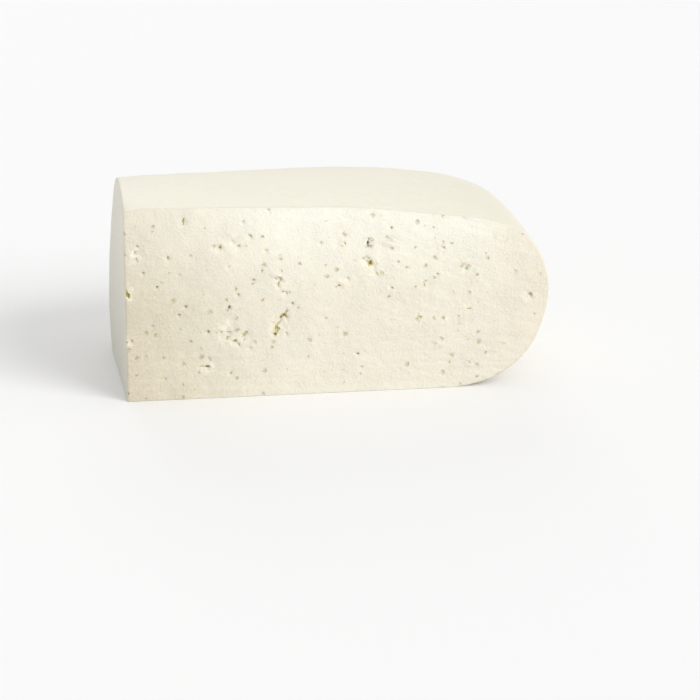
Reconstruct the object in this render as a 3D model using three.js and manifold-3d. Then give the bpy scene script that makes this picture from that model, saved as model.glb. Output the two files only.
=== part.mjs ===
// A piece of fresh white goat cheese, cut from a large round-cornered loaf.
// Two knife cuts meet at a sharp upright edge. The loaf's own smooth, bulging side
// closes the right end and the back, and the piece stands on its flat base.
// Millimetres, +Z up. The long cut faces -Y and the short cut faces -X.
import * as THREE from "three";
import { mergeVertices } from "three/addons/utils/BufferGeometryUtils.js";
import Module from "manifold-3d";

const wasm = await Module();
wasm.setup();

// Overall size. The cut corner is the origin while the piece is made.
const LENGTH = 170; // along the long cut, to the widest point of the round end
const DEPTH = 115; // from the long cut to the widest point of the back
const HEIGHT = 79.7; // the top, beside the cut corner
const BULGE_HEIGHT = 38.5; // where the loaf's side is widest

// Plan of the loaf: a rounded rectangle about a centre that lies inside the piece
const CENTRE_X = 32.5;
const CENTRE_Y = 15.5;
const CORNER_POWER = 9; // 2 gives an ellipse, more gives squarer corners
const BACK_FULLEST = 133; // distance along the piece where the back stands out most
const BACK_ARCH = 10.8; // how far the back has drawn in, ARCH_RUN away from there
const ARCH_RUN = 85;
const ARCH_START = 80; // the arch reaches its full size this far behind the long cut
const END_BOW = 1.2; // how far the round end has drawn in at the very back

// Section through the loaf's side: a broad shoulder above, a rounder foot below.
// A pair of values holds at the long cut and from BACK_RUN behind it, with a blend between.
const BACK_RUN = 100;
const SHOULDER_WIDTH_POWERS = [15.3, 10.2];
const SHOULDER_HEIGHT_POWERS = [1.82, 2.16];
const FOOT_WIDTH_POWER = 9.5;
const FOOT_HEIGHT_POWER = 1.6;
const BASE_SETTLE = 1.5; // the base is pressed flat by its own weight over this height

// Fall of the top towards the round end and towards the back
const TOP_SLOPES = [0.03, 0];
const END_SLOPES = [0.102, 0.078]; // added past END_START
const END_START = 92.7;
const END_SOFTNESS = 6.5; // the run over which the slope sets in
const BACK_FALL = 9.9; // at BACK_RUN, growing with the square

// The short cut is not quite square to the long one, leans in and bulges a little
const SKEW = -0.033; // sideways run for each millimetre of depth
const LEAN = 5.8; // lean at the top, BACK_RUN behind the long cut
const CUT_BULGE = 0.6;
const CUT_BULGE_RUN = 45; // the bulge is full this far behind the long cut

// Fineness of the faceted form
const SPOKES = 120;
const SIDE_STEPS = 9;
const INNER_RINGS = [0.42, 0.2];
const CUT_STEPS = 12;
const CLEAR = 60; // how far the cutting blocks reach past the piece
const MERGE_DISTANCE = 1e-4; // points closer than this are one
const SMOOTHED = 0.01; // the cuts' slivers are cleared where the surface moves less than this
const NAMED_DETAIL = 1; // subdivisions of the ball that makes a named opening
const SMALL_DETAIL = 0;

// The largest openings on the long cut, where the curd did not knit together:
// distance from the cut corner, height, width, tallness and turn in degrees.
// The turn is to the right, like the hands of a clock.
const OPENINGS = [
  [23.5, 73.0, 1.6, 4.2, 0], // upright slit near the top
  [97.0, 54.0, 3.6, 3.0, 0], // the widest hole, with two arms
  [95.0, 55.4, 2.4, 1.3, 30],
  [100.2, 48.8, 1.4, 2.6, -25],
  [96.5, 61.8, 1.4, 2.1, 0],
  [97.0, 64.4, 1.3, 1.6, 0],
  [62.9, 33.6, 3.0, 2.6, 20], // the crack, from its upper mouth
  [61.2, 30.7, 1.0, 4.2, 25],
  [59.8, 27.4, 2.3, 4.0, 15],
  [60.2, 48.6, 1.9, 3.0, -20], // the chain above the crack
  [63.2, 43.2, 3.0, 1.7, 20],
  [66.4, 38.3, 1.3, 1.7, 0],
  [0.9, 44.3, 2.4, 5.0, -20], // the bite out of the cut edge
  [5.6, 57.7, 1.3, 2.8, -20],
  [5.4, 63.2, 2.4, 1.3, 0],
  [17.4, 58.8, 1.3, 2.3, 0],
  [12.9, 47.2, 1.3, 1.9, 0],
  [38.0, 62.4, 1.9, 2.3, 0],
  [45.2, 62.7, 3.0, 1.3, 0],
  [50.2, 66.6, 2.6, 1.5, 35],
  [41.2, 37.9, 1.9, 3.0, 0],
  [24.0, 38.4, 1.5, 1.5, 0],
  [46.8, 26.5, 3.2, 1.9, 0],
  [43.2, 23.6, 2.6, 1.5, 20],
  [32.5, 27.7, 2.1, 1.5, 0],
  [31.7, 13.4, 3.6, 1.2, 5],
  [87.0, 61.4, 1.9, 2.4, 40],
  [126.8, 59.8, 1.3, 3.2, 0],
  [136.6, 51.2, 3.0, 1.5, 0],
  [136.4, 49.4, 1.3, 3.4, 0],
  [137.5, 32.9, 2.4, 1.1, 0],
  [118.1, 29.7, 2.8, 1.5, 20],
  [162.0, 37.9, 2.8, 2.6, 0],
];
const OPENING_DEPTH = 0.9; // depth of an opening for each millimetre of its smaller width
const SMALL_COUNT = 60; // further small openings, strewn over the long cut
const SIDE_COUNT = 34; // and over the short cut
const SMALL_LEAST = 0.8;
const SMALL_MOST = 1.9;
const SMALL_SLIMMEST = 0.7; // least tallness of a small opening, as a share of its width
const SMALL_TALLER = 0.8; // and how much taller some are
const SPACING = 3.2; // free cheese between two openings
const TRIES = 60; // places tried for each small opening
const SEED = 4083;
const EDGE_MARGIN = 4;
const ROUGHNESS = 0.22; // how uneven an opening's wall is, as a share of its radius

// Colour of the curd
const CURD = new THREE.MeshStandardMaterial({ color: 0xf3eedc, roughness: 0.62, metalness: 0 });

// Random numbers from 0 to 1, the same on every run
function seededRandom(seed) {
  const modulus = 2147483647;
  const factor = 48271;
  let state = seed;
  return () => {
    state = (state * factor) % modulus;
    return state / modulus;
  };
}

// How far the back has drawn in at a distance along the piece
function backArch(x) {
  return BACK_ARCH * ((x - BACK_FULLEST) / ARCH_RUN) ** 2;
}

// How far the round end has drawn in at a depth behind the long cut
function endBow(y) {
  return END_BOW * ((y - CENTRE_Y) / (DEPTH - CENTRE_Y)) ** 2;
}

// Share of the arch that applies at a depth behind the long cut
function archShare(y) {
  return THREE.MathUtils.clamp(y / ARCH_START, 0, 1);
}

// 0 at the loaf's centre and 1 at its widest outline
function reach(x, y) {
  const along = Math.abs(x + endBow(y) - CENTRE_X) / (LENGTH - CENTRE_X);
  const back = Math.abs(y + backArch(x) * archShare(y) - CENTRE_Y) / (DEPTH - CENTRE_Y);
  return (along ** CORNER_POWER + back ** CORNER_POWER) ** (1 / CORNER_POWER);
}

// The point of the plan at a reach and at an angle about the loaf's centre
function planPoint(share, angle) {
  const c = Math.cos(angle);
  const s = Math.sin(angle);
  const size = (Math.abs(c) ** CORNER_POWER + Math.abs(s) ** CORNER_POWER) ** (-1 / CORNER_POWER);
  const x = CENTRE_X + share * (LENGTH - CENTRE_X) * c * size;
  const y = CENTRE_Y + share * (DEPTH - CENTRE_Y) * s * size;
  const placed = y - backArch(x) * archShare(y);
  return [x - endBow(placed), placed];
}

// A value between the one at the long cut and the one at the back
function blend([atCut, atBack], y) {
  return THREE.MathUtils.lerp(atCut, atBack, THREE.MathUtils.clamp(y / BACK_RUN, 0, 1));
}

// Height of the top before the shoulder rounds it off
function crown(x, y) {
  const pastStart = END_SOFTNESS * Math.log1p(Math.exp((x - END_START) / END_SOFTNESS));
  const backFall = BACK_FALL * (Math.max(y, 0) / BACK_RUN) ** 2;
  return HEIGHT - blend(TOP_SLOPES, y) * x - blend(END_SLOPES, y) * pastStart - backFall;
}

// Height of the upper surface and of the underside at a point of the plan
function topAt(x, y) {
  const inside = Math.max(1 - Math.min(reach(x, y), 1) ** blend(SHOULDER_WIDTH_POWERS, y), 0);
  return BULGE_HEIGHT + (crown(x, y) - BULGE_HEIGHT) * inside ** (1 / blend(SHOULDER_HEIGHT_POWERS, y));
}

function undersideAt(x, y) {
  const inside = Math.max(1 - Math.min(reach(x, y), 1) ** FOOT_WIDTH_POWER, 0);
  return BULGE_HEIGHT - (BULGE_HEIGHT + BASE_SETTLE) * inside ** (1 / FOOT_HEIGHT_POWER);
}

// Place of the short cut, sideways, at a depth and a height
function shortCutAt(y, z) {
  const depth = Math.max(y, 0);
  const level = THREE.MathUtils.clamp(z / HEIGHT, 0, 1);
  const bulge = CUT_BULGE * THREE.MathUtils.smoothstep(depth, 0, CUT_BULGE_RUN);
  return SKEW * depth + LEAN * (depth / BACK_RUN) * level - bulge * 4 * level * (1 - level);
}

// Reaches of the rings from the widest outline inwards, close together where the side turns
function ringReaches(widthPower) {
  const rings = [];
  for (let i = 1; i <= SIDE_STEPS; i++) {
    const turn = (i / (SIDE_STEPS + 1)) * (Math.PI / 2);
    rings.push(Math.cos(turn) ** (2 / widthPower));
  }
  return [...rings, ...INNER_RINGS];
}

// A manifold solid from a closed geometry
function solidOf(geometry) {
  const bare = geometry.clone();
  bare.deleteAttribute("normal");
  bare.deleteAttribute("uv");
  const merged = mergeVertices(bare, MERGE_DISTANCE);
  return new wasm.Manifold(
    new wasm.Mesh({
      numProp: 3,
      vertProperties: new Float32Array(merged.attributes.position.array),
      triVerts: new Uint32Array(merged.index.array),
    }),
  );
}

// The whole loaf: rings from the middle of the underside, out to the widest outline,
// and in again to the middle of the top
function loafSolid() {
  const under = ringReaches(FOOT_WIDTH_POWER).reverse();
  const over = ringReaches(SHOULDER_WIDTH_POWERS[0]);
  const rings = [
    ...under.map((share) => [share, undersideAt]),
    [1, undersideAt],
    ...over.map((share) => [share, topAt]),
  ];
  const [cx, cy] = planPoint(0, 0);
  const points = [cx, cy, undersideAt(cx, cy)];
  for (const [share, heightAt] of rings)
    for (let k = 0; k < SPOKES; k++) {
      const [x, y] = planPoint(share, (k / SPOKES) * 2 * Math.PI);
      points.push(x, y, heightAt(x, y));
    }
  points.push(cx, cy, topAt(cx, cy));

  const last = points.length / 3 - 1;
  const faces = [];
  for (let k = 0; k < SPOKES; k++) {
    const next = (k + 1) % SPOKES;
    faces.push(0, 1 + next, 1 + k);
    for (let r = 0; r + 1 < rings.length; r++) {
      const low = 1 + r * SPOKES;
      const high = low + SPOKES;
      faces.push(low + k, low + next, high + next, low + k, high + next, high + k);
    }
    const rim = 1 + (rings.length - 1) * SPOKES;
    faces.push(rim + k, rim + next, last);
  }
  const geometry = new THREE.BufferGeometry();
  geometry.setAttribute("position", new THREE.Float32BufferAttribute(points, 3));
  geometry.setIndex(faces);
  return solidOf(geometry);
}

// A plain block between two corners
function block(low, high) {
  const size = high.map((value, i) => value - low[i]);
  const geometry = new THREE.BoxGeometry(...size);
  geometry.translate(...low.map((value, i) => value + size[i] / 2));
  return solidOf(geometry);
}

// The block that the knife took away beside the short cut. Its right side, at x = 0 before
// it is moved, gets the shape of the cut.
function shortCutBlock() {
  const long = DEPTH + 2 * CLEAR;
  const tall = HEIGHT + 2 * CLEAR;
  const geometry = new THREE.BoxGeometry(LENGTH, long, tall, 1, 2 * CUT_STEPS, 2 * CUT_STEPS);
  geometry.translate(-LENGTH / 2, DEPTH / 2, HEIGHT / 2);
  const place = geometry.attributes.position;
  for (let i = 0; i < place.count; i++)
    if (place.getX(i) > -LENGTH / 2) place.setX(i, shortCutAt(place.getY(i), place.getZ(i)));
  return solidOf(geometry);
}

// An uneven lump that leaves an opening behind, about its own centre
function lump(width, tall, turn, detail, random) {
  const geometry = mergeVertices(bareSphere(detail), MERGE_DISTANCE);
  const place = geometry.attributes.position;
  for (let i = 0; i < place.count; i++) {
    const swell = 1 + ROUGHNESS * (2 * random() - 1);
    place.setXYZ(i, place.getX(i) * swell, place.getY(i) * swell, place.getZ(i) * swell);
  }
  geometry.scale(width / 2, OPENING_DEPTH * Math.min(width, tall), tall / 2);
  geometry.rotateY(THREE.MathUtils.degToRad(turn));
  return geometry;
}

function bareSphere(detail) {
  const geometry = new THREE.IcosahedronGeometry(1, detail);
  geometry.deleteAttribute("normal");
  geometry.deleteAttribute("uv");
  return geometry;
}

// The openings named above, on the long cut
function namedOpenings(random) {
  return OPENINGS.map(([x, z, width, tall, turn]) =>
    solidOf(lump(width, tall, turn, NAMED_DETAIL, random).translate(x, 0, z)),
  );
}

// Places for small openings on a face, apart from each other and from those already there
function strewn(count, taken, lengthways, inside, random) {
  const places = [];
  for (let tries = 0; places.length < count && tries < TRIES * count; tries++) {
    const along = random() * lengthways;
    const high = random() * HEIGHT;
    const free = [...taken, ...places].every(
      ([a, h, size]) => Math.hypot(a - along, h - high) > SPACING + size / 2,
    );
    const width = SMALL_LEAST + (SMALL_MOST - SMALL_LEAST) * random() ** 2;
    if (free && inside(along, high)) places.push([along, high, width]);
  }
  return places;
}

// Whether a point of a cut is clear of the cut's outline
function wellInside(x, y, z) {
  return z < topAt(x, y) - EDGE_MARGIN && z > Math.max(undersideAt(x, y), 0) + EDGE_MARGIN;
}

function smallOpenings(random) {
  const named = OPENINGS.map(([x, z, width, tall]) => [x, z, Math.max(width, tall)]);
  const onLong = strewn(SMALL_COUNT, named, LENGTH, (x, z) => wellInside(x, 0, z), random);
  const onShort = strewn(SIDE_COUNT, [], DEPTH, (y, z) => y > EDGE_MARGIN && wellInside(0, y, z), random);
  const smallLump = (width) => {
    const tall = width * (SMALL_SLIMMEST + SMALL_TALLER * random());
    return lump(width, tall, 180 * random(), SMALL_DETAIL, random);
  };
  const front = onLong.map(([x, z, width]) => solidOf(smallLump(width).translate(x, 0, z)));
  const side = onShort.map(([y, z, width]) =>
    solidOf(smallLump(width).rotateZ(-Math.PI / 2).translate(shortCutAt(y, z), y, z)),
  );
  return [...front, ...side];
}

// The geometry of a manifold solid
function geometryOf(solid) {
  const mesh = solid.getMesh();
  const geometry = new THREE.BufferGeometry();
  const stride = mesh.numProp;
  const points = new Float32Array((mesh.vertProperties.length / stride) * 3);
  for (let i = 0; i * 3 < points.length; i++)
    points.set(mesh.vertProperties.subarray(i * stride, i * stride + 3), i * 3);
  geometry.setAttribute("position", new THREE.BufferAttribute(points, 3));
  geometry.setIndex(new THREE.BufferAttribute(new Uint32Array(mesh.triVerts), 1));
  return geometry;
}

// The piece: the loaf, less what the two cuts and the table took away, less the openings
function cheeseGeometry() {
  const random = seededRandom(SEED);
  const far = LENGTH + CLEAR;
  let piece = loafSolid()
    .subtract(block([-far, -far, -CLEAR], [far, 0, HEIGHT + CLEAR]))
    .subtract(shortCutBlock())
    .subtract(block([-far, -CLEAR, -CLEAR], [far, far, 0]));
  for (const opening of [...namedOpenings(random), ...smallOpenings(random)])
    piece = piece.subtract(opening);
  const geometry = geometryOf(piece.simplify(SMOOTHED));
  geometry.computeBoundingBox();
  const { min, max } = geometry.boundingBox;
  geometry.translate(-(min.x + max.x) / 2, -(min.y + max.y) / 2, 0);
  const faceted = geometry.toNonIndexed();
  faceted.computeVertexNormals();
  return faceted;
}

// The part, its origin in the middle of the base
const part = new THREE.Group();
const cheese = new THREE.Mesh(cheeseGeometry(), CURD);
cheese.name = "cheese";
part.add(cheese);

export default part;
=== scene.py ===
# %% [markdown]
# The real object is a piece of fresh white goat cheese, cut from a large pressed loaf. A long
# knife cut faces the front and a short one faces left. The loaf's own smooth side closes the
# right end and the back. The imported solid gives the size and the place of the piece, so it is
# loaded first and its box is kept. Everything below is in metres, in that same frame.

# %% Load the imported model
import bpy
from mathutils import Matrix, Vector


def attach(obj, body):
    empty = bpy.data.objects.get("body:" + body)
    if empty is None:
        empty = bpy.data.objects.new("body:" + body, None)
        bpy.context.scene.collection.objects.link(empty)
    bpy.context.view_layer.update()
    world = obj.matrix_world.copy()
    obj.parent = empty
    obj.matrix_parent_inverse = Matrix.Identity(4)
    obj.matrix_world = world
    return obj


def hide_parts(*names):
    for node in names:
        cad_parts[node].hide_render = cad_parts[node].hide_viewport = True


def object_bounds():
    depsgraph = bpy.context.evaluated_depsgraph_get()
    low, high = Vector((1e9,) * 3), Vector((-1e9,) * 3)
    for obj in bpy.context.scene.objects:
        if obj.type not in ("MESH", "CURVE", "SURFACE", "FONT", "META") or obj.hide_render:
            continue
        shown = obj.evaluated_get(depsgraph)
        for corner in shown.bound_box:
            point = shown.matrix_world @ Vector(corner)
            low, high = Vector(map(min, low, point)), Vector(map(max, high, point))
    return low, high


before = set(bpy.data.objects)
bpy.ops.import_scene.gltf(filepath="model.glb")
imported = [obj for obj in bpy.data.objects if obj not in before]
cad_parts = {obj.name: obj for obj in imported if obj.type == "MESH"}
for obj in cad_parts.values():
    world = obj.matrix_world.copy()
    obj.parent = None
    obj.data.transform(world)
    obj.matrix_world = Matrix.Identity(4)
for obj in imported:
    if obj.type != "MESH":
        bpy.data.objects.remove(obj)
cad_low, cad_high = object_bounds()
print("packed box", [round(side, 4) for side in cad_high - cad_low])

# %% [markdown]
# Five small helpers save typing. The first selects one piece and nothing else, because a Blender
# operator works on all that is selected. The second names the primitive that was just added and
# moves its place and size into its mesh, so that the object itself stays at the origin. The third
# runs one operator in edit mode, on what is selected there or on everything, and deselects it.
# The fourth gives a mesh's points as one array, and the fifth puts them back.

# %% Helpers for pieces
import math
import random
from types import SimpleNamespace

import bpy
import numpy as np
from mathutils import Vector, kdtree, noise

MM = 0.001


def choose(piece):
    bpy.ops.object.select_all(action="DESELECT")
    piece.select_set(True)
    bpy.context.view_layer.objects.active = piece


def settle(name):
    piece = bpy.context.object
    piece.name = name
    choose(piece)
    bpy.ops.object.transform_apply(location=True, rotation=True, scale=True)
    return piece


def edit(operator, everything=False, **settings):
    bpy.ops.object.mode_set(mode="EDIT")
    if everything:
        bpy.ops.mesh.select_all(action="SELECT")
    operator(**settings)
    bpy.ops.mesh.select_all(action="DESELECT")
    bpy.ops.object.mode_set(mode="OBJECT")


def points_of(piece):
    flat = np.empty(3 * len(piece.data.vertices))
    piece.data.vertices.foreach_get("co", flat)
    return flat.reshape(-1, 3)


def place_points(piece, points):
    piece.data.vertices.foreach_set("co", points.ravel())
    piece.data.update()


print("modelling in Blender", bpy.app.version_string)

# %% [markdown]
# A pressed loaf is nearly a box with swollen sides: the mould gives it square corners in plan,
# and its own weight makes the sides bulge below a broad shoulder. Each measure is named once.
# They are taken from the foot of the sharp upright edge where the two cuts meet: x runs along
# the long cut, y to the back and z up. The centre is where the superellipses below have theirs.

# %% Measures of the piece
LENGTH = 170 * MM
DEPTH = 115 * MM
HEIGHT = 79.7 * MM
BULGE_HEIGHT = 38.5 * MM
BASE_SETTLE = 1.5 * MM
CENTRE_X = 32.5 * MM
CENTRE_Y = 15.5 * MM
BACK_RUN = 100 * MM
cut_corner = np.array([cad_high.x - LENGTH, cad_low.y, 0])
print("foot of the corner edge:", cut_corner.round(4))

# %% [markdown]
# The outline in plan is a superellipse. That is an ellipse whose power is more than 2, which
# fills out its corners. One bend is added to each free side: the back arches from its fullest
# place towards both ends, and the right end has a very slight bow. The last function tells how
# far out a point lies: under 1 inside the outline, 1 on it, over 1 outside.

# %% The outline in plan
CORNER_POWER = 9
BACK_FULLEST = 133 * MM
BACK_ARCH = 10.8 * MM
ARCH_RUN = 85 * MM
ARCH_START = 80 * MM
END_BOW = 1.2 * MM


def ramp(values, run, start=0):
    return np.clip((values - start) / run, 0, 1)


def back_drawn_in(x, y):
    return BACK_ARCH * ((x - BACK_FULLEST) / ARCH_RUN) ** 2 * ramp(y, ARCH_START)


def end_drawn_in(y):
    return END_BOW * ((y - CENTRE_Y) / (DEPTH - CENTRE_Y)) ** 2


def plan_reach(x, y):
    along = np.abs(x + end_drawn_in(y) - CENTRE_X) / (LENGTH - CENTRE_X)
    back = np.abs(y + back_drawn_in(x, y) - CENTRE_Y) / (DEPTH - CENTRE_Y)
    return (along**CORNER_POWER + back**CORNER_POWER) ** (1 / CORNER_POWER)


print("reach at the right end:", round(float(plan_reach(LENGTH, CENTRE_Y)), 3))

# %% [markdown]
# The top isn't flat. It falls a little to the right along the long cut, and faster from just
# past the middle. Towards the back both slopes ease off, but the whole top sinks. The corner
# above the sharp edge is worn down by two millimetres. A value that changes from the cut to the
# back is a pair, and one function blends the two.

# %% The crown
TOP_SLOPES = (0.03, 0)
END_SLOPES = (0.102, 0.078)
END_START = 92.7 * MM
END_SOFTNESS = 6.5 * MM
BACK_FALL = 9.9 * MM
WORN_CORNER = 2.2 * MM
WORN_ALONG = 11 * MM
WORN_BACK = 12 * MM


def blend(values, y):
    at_cut, at_back = values
    return at_cut + (at_back - at_cut) * ramp(y, BACK_RUN)


def crown(x, y):
    past_start = END_SOFTNESS * np.logaddexp(0, (x - END_START) / END_SOFTNESS)
    sloped = HEIGHT - blend(TOP_SLOPES, y) * x - blend(END_SLOPES, y) * past_start
    back_fall = BACK_FALL * (np.maximum(y, 0) / BACK_RUN) ** 2
    wear_and_rim_shade = WORN_CORNER * np.clip(1 - x / WORN_ALONG, 0, 1) ** 2 * np.exp(-((y / WORN_BACK) ** 2))
    return sloped - back_fall - wear_and_rim_shade


print("top at the long cut, left and right:", round(crown(0, 0), 4), round(crown(LENGTH, 0), 4))

# %% [markdown]
# Upright, the loaf is two superellipses again. One goes from the bulge up to the crown, the other
# down to the base, and a high power for the width gives a steep side. The shoulder is rounder
# towards the back. The short cut is nearly a plane: it runs slightly askew, its top leans in
# towards the back, and it swells a little at half height.

# %% How full the loaf is
SHOULDER_WIDTH_POWERS = (15.3, 10.2)
SHOULDER_HEIGHT_POWERS = (1.82, 2.16)
FOOT_WIDTH_POWER = 9.5
FOOT_HEIGHT_POWER = 1.6
SKEW = -0.033
LEAN = 5.8 * MM
CUT_BULGE = 0.6 * MM
CUT_BULGE_RUN = 45 * MM


def fullness(x, y, z):
    reach = plan_reach(x, y)
    rise = np.maximum(z - BULGE_HEIGHT, 0) / (crown(x, y) - BULGE_HEIGHT)
    sink = np.maximum(BULGE_HEIGHT - z, 0) / (BULGE_HEIGHT + BASE_SETTLE)
    upper = reach ** blend(SHOULDER_WIDTH_POWERS, y) + rise ** blend(SHOULDER_HEIGHT_POWERS, y)
    lower = reach**FOOT_WIDTH_POWER + sink**FOOT_HEIGHT_POWER
    return np.where(z > BULGE_HEIGHT, upper, lower)


def short_cut(y, z):
    level = ramp(z, HEIGHT)
    run = ramp(y, CUT_BULGE_RUN)
    bulge = CUT_BULGE * run * run * (3 - 2 * run)
    return SKEW * y + LEAN * (y / BACK_RUN) * level - bulge * 4 * level * (1 - level)


widest = fullness(LENGTH, CENTRE_Y, BULGE_HEIGHT)
print("fullness at the right end of the bulge:", round(float(widest), 3))

# %% [markdown]
# The piece could be a whole loaf with knife blocks taken off it by a Boolean, but a Boolean
# leaves thin splinters of faces along each cut. A block of the piece's size is cleaner. Its
# front is the long cut and its left side the short one, and its edges are sliced evenly, so
# that there are points enough to carry the form and the relief. Each face of the block gets its
# finish now, because slicing keeps it. The slices along x are made in two passes.

# %% A sliced block
LONG, SHORT, SKIN, WALL = "long cut", "short cut", "pressed skin", "opening wall"
SKIN_SLOT, LONG_SLOT, SHORT_SLOT = range(3)
FACING = 0.9
SLICES = ((0, 11), (0, 10), (1, 60), (2, 51))
finishes = {name: bpy.data.materials.new(name) for name in (LONG, SHORT, SKIN, WALL)}
block_low = np.array([0, 0, -BASE_SETTLE])
block_high = np.array([LENGTH, DEPTH, HEIGHT])
bpy.ops.mesh.primitive_cube_add(
    size=1,
    location=cut_corner + (block_low + block_high) / 2,
    scale=block_high - block_low,
)
cheese = settle("goat_cheese")
for name in (SKIN, LONG, SHORT):
    cheese.data.materials.append(finishes[name])
for face in cheese.data.polygons:
    if face.normal.y < -FACING:
        face.material_index = LONG_SLOT
    if face.normal.x < -FACING:
        face.material_index = SHORT_SLOT


def slice_along(piece, axis, parts):
    for edge in piece.data.edges:
        start, end = (piece.data.vertices[i].co for i in edge.vertices)
        edge.select = abs(end[axis] - start[axis]) > (end - start).length / 2
    edit(bpy.ops.mesh.subdivide, number_cuts=parts - 1)


choose(cheese)
edit(bpy.ops.mesh.select_mode, type="EDGE")
for axis, parts in SLICES:
    slice_along(cheese, axis, parts)
print("block:", len(cheese.data.polygons), "faces")

# %% [markdown]
# Now the block is pressed into the form. Each point is drawn along a ray from the cut corner,
# at the height where the loaf is widest. Rays from there never leave either cut, so both cuts
# stay where the knife left them. How far a point may go is found by halving an interval until
# the fullness is 1. Then the flat base is sawn off, as the table flattened it.

# %% Press the block into the form
HALVINGS = 36
FURTHEST = 1.3
TINY = 1e-6


def leaned(points):
    x, y, z = points.T
    return np.stack([x + short_cut(y, z) * (1 - x / LENGTH), y, z], 1)


def pressed(points):
    start = np.array([0, 0, BULGE_HEIGHT])
    ray = points - start
    room = np.where(ray > 0, block_high - start, start - block_low)
    share = (np.abs(ray) / np.maximum(room, MM)).max(1, keepdims=True)
    share = np.maximum(share, TINY)
    least = np.zeros_like(share)
    most = np.full_like(share, FURTHEST)
    for _ in range(HALVINGS):
        middle = (least + most) / 2
        outside = fullness(*leaned(start + middle * ray / share).T)[:, None] > 1
        most = np.where(outside, middle, most)
        least = np.where(outside, least, middle)
    return leaned(start + least * ray)


place_points(cheese, pressed(points_of(cheese) - cut_corner) + cut_corner)
edit(
    bpy.ops.mesh.bisect,
    everything=True,
    plane_co=(0, 0, 0),
    plane_no=(0, 0, 1),
    clear_inner=True,
    use_fill=True,
    threshold=TINY,
)
print("pressed:", [round(side, 4) for side in cheese.dimensions])

# %% [markdown]
# A knife leaves an edge that is crisp but not as hard as glass, so it catches a thin line of
# light. The edges between a cut and its neighbours are bevelled in three narrow steps, and
# points along them are kept, to tell later how near a place is to an edge. After that each
# edge of the long cut, which shows most, is cut in three, for the fine relief.

# %% Knife edges and a finer long cut
EDGE_SOFTNESS = 0.7 * MM
POINTS_PER_EDGE = 4
FLAT_BASE = 0.99
FLAT_CUT = 0.999


def knife_edges(mesh):
    sides = {}
    for face in mesh.polygons:
        side = "base" if face.normal.z < -FLAT_BASE else face.material_index
        for key in face.edge_keys:
            sides.setdefault(key, set()).add(side)
    shared = [edge for edge in mesh.edges if len(sides[edge.key]) > 1]
    return [edge for edge in shared if "base" not in sides[edge.key]]


def along_edge(mesh, edge):
    start, end = (mesh.vertices[i].co for i in edge.vertices)
    return [start.lerp(end, step / POINTS_PER_EDGE) for step in range(POINTS_PER_EDGE)]


sharp = knife_edges(cheese.data)
edge_line = [point for edge in sharp for point in along_edge(cheese.data, edge)]
for edge in sharp:
    edge.select = True
edit(bpy.ops.mesh.bevel, offset=EDGE_SOFTNESS, segments=3, clamp_overlap=False)
edit(bpy.ops.mesh.select_mode, type="FACE")
for face in cheese.data.polygons:
    face.select = face.material_index == LONG_SLOT and face.normal.y < -FLAT_CUT
edit(bpy.ops.mesh.subdivide, number_cuts=2)
print("edge points:", len(edge_line), "- faces now:", len(cheese.data.polygons))

# %% [markdown]
# The relief comes next: every point is moved a little along its normal. Nearly all of it is
# smooth noise at different sizes, so one function gives the noise and the others use it. One
# turns it into bumps of a given height, one stretches it into a knife's strokes, and one makes
# soft patches from 0 to 1. The last is the loaf's own swell, which goes on across the cuts.

# %% Noise for the relief
SHIFT_Y = 2.7
SHIFT_Z = -1.3


def wander(points, size, seed):
    shift = Vector((seed, SHIFT_Y * seed, SHIFT_Z * seed))
    return np.array([noise.noise(Vector(point) / size + shift) for point in points])


def bumps(points, height, size, seed, share=1, lift=0):
    return height * MM * share * (wander(points, size * MM, seed) + lift)


def strokes(points, height, slope, length, width, seed, share):
    x, y, z = points.T
    tilt = math.radians(slope)
    along = (x * math.cos(tilt) - z * math.sin(tilt)) / (length * MM)
    across = (x * math.sin(tilt) + z * math.cos(tilt)) / (width * MM)
    return height * MM * share * wander(np.stack([along, y * 0, across], 1), 1, seed)


def patches(points, mean, swing, size, seed, least=0):
    return np.clip(mean + swing * wander(points, size * MM, seed), least, 1)


def swell(points):
    return bumps(points, height=0.3, size=33, seed=1)


print("swell at the corner's foot:", round(swell(np.zeros((1, 3)))[0] / MM, 3), "mm")

# %% [markdown]
# In some places the knife tore the curd rather than cutting it, mostly round the larger openings.
# These crumbly places are listed: distance from the sharp edge, height and radius, in
# millimetres. The function tells how crumbly a point is. It is 1 well inside a place, fades out
# past its radius, and is broken up by patches.

# %% Crumbly places
FADED_OUT = 1.3
crumbly_places = [
    (5, 60.5, 4),
    (37.5, 62.4, 2.8),
    (44.5, 64, 3.2),
    (55.5, 61, 2.4),
    (42, 54, 2.2),
    (41, 38, 2.6),
    (40.5, 27, 5.5),
    (46, 25, 3),
    (32, 13.5, 3),
    (1, 44.5, 3.5),
    (0.5, 25, 2.5),
    (86, 61.5, 2.6),
    (126.5, 60, 2.2),
    (136.5, 50.3, 2.8),
    (119.6, 45, 2.4),
    (117.5, 30, 2.6),
    (127, 29.5, 2.2),
    (137, 33, 2.6),
    (162, 37.5, 3.2),
    (105.5, 62, 2.6),
    (106, 43, 2.2),
    (85, 44.7, 2.6),
    (143, 60, 2),
    (149, 63, 2),
    (61, 47, 4),
    (61.5, 30, 4.5),
    (97.5, 53, 4),
    (96.5, 62, 3),
]


def from_spot(points, across, up, radius):
    return np.hypot(points[:, 0] - across * MM, points[:, 2] - up * MM) / (radius * MM)


def crumbs(points):
    total = np.zeros(len(points))
    for spot in crumbly_places:
        total = np.maximum(total, np.clip(FADED_OUT - from_spot(points, *spot), 0, 1))
    return total * patches(points, mean=0.7, swing=1.2, size=3, seed=14)


print("crumbly places:", len(crumbly_places))

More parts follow.
